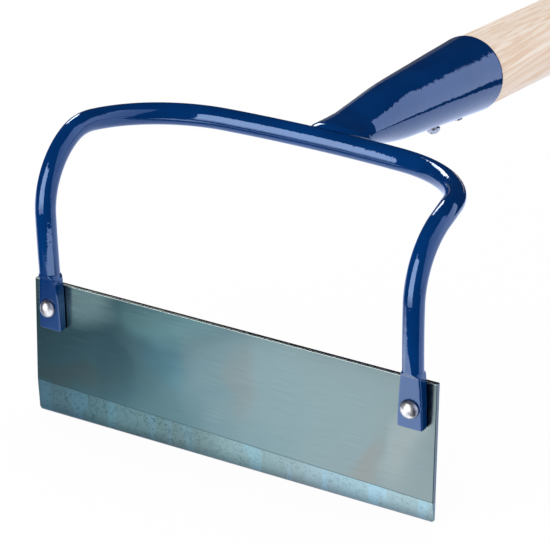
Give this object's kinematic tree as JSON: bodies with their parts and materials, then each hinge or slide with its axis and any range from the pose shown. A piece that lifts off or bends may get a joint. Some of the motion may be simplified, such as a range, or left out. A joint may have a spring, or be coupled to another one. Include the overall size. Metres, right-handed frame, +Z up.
{
  "type": "draw hoe",
  "caption": "Draw hoe with a flat ground-edge blade riveted to a bent round bow, a tapered socket welded to the bow in dark blue enamel, and a long ash handle.",
  "frame": {"origin": "middle of the bounding box at floor level, with the hoe lying on its cutting edge and on the end of its handle", "axes": "+X along the blade, to the right as the picture shows it; +Y from the blade back along the handle to its butt; +Z up"},
  "size_m": [0.16, 1.4878, 0.1119],
  "materials": {
    "blue_enamel": "glossy dark blue paint",
    "ground_steel": "ground blade steel with a blue-grey heat tint and fine grinding lines along it",
    "bright_steel": "bright zinc-plated steel",
    "ash_wood": "planed pale ash, unvarnished, with straight fine grain"
  },
  "bodies": {
    "root": {"blade": "ground_steel", "bow": "blue_enamel", "handle": "ash_wood", "rivet_left": "bright_steel", "rivet_right": "bright_steel", "socket": "blue_enamel", "socket_nail": "bright_steel", "socket_screw": "bright_steel", "weld_bottom": "blue_enamel", "weld_top": "blue_enamel"}
  },
  "joints": []
}
